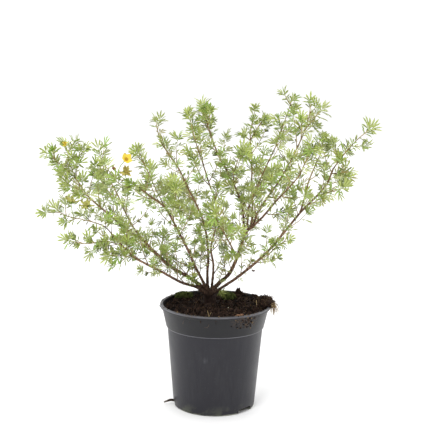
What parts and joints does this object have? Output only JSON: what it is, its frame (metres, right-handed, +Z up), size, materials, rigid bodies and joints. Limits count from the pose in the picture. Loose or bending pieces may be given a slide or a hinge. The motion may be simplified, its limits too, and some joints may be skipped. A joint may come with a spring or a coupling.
{
  "type": "potted shrubby cinquefoil",
  "caption": "Small deciduous shrub with fine five-leaflet leaves, spreading woody stems and a few yellow flowers, rooted in compost in a round tapered nursery pot",
  "frame": {"origin": "Centre of the pot's underside, on the plane that the pot stands on", "axes": "+Z up. Seen from the front, +X is right and +Y away. The compost has spilled over the rim on the +X side."},
  "size_m": [0.4923, 0.3581, 0.4983],
  "materials": {
    "pot_plastic": "satin, scuffed, with dried splashes of compost",
    "compost": "damp, crumbly, with bark and root fibres",
    "bark": "rough, peeling in strips on the old wood",
    "moss": "soft and matt",
    "leaf": "soft, finely hairy",
    "petal": "silky",
    "faded_petal": "dry and papery"
  },
  "bodies": {
    "root": {"pot": "pot_plastic", "compost": "compost", "compost_spill": "compost", "rootstock": "bark", "bark_chip": "bark", "drain_root": "bark", "moss_left": "moss", "moss_right": "moss", "stem_left": "bark", "stem_low_left": "bark", "stem_centre_left": "bark", "stem_back_left": "bark", "stem_centre": "bark", "stem_right": "bark", "stem_low_right": "bark", "stem_tall": "bark", "stem_right_tall": "bark", "stem_right_front": "bark", "stem_rear": "bark", "stem_right_back": "bark", "stem_left_back": "bark", "stem_far_left": "bark", "stem_right_outer": "bark", "stem_front": "bark", "shoot_left_back": "leaf", "shoot_far_left_low": "leaf", "shoot_far_left_top": "leaf", "shoot_far_left_side": "leaf", "shoot_left_inner": "leaf", "shoot_left_upright": "leaf", "shoot_left_thin": "leaf", "shoot_low_left_end": "leaf", "shoot_low_left_mid": "leaf", "shoot_low_left_near": "leaf", "shoot_centre_left_up": "leaf", "shoot_centre_left_thin": "leaf", "shoot_back_left": "leaf", "shoot_back_left_side": "leaf", "shoot_rear_left": "leaf", "shoot_centre": "leaf", "shoot_tall": "leaf", "shoot_centre_thin": "leaf", "shoot_rear": "leaf", "shoot_rear_right": "leaf", "shoot_right_back": "leaf", "shoot_right_tall": "leaf", "shoot_right_front": "leaf", "shoot_right_outer": "leaf", "shoot_low_right": "leaf", "shoot_low_right_spray": "leaf", "shoot_low_right_side": "leaf", "shoot_low_right_twig": "leaf", "shoot_front": "leaf", "shoot_basal": "leaf", "flower_open": "petal", "flower_faded_high": "faded_petal", "flower_far_left": "faded_petal", "flower_low_left_outer": "faded_petal", "flower_low_left_inner": "faded_petal"}
  },
  "joints": []
}
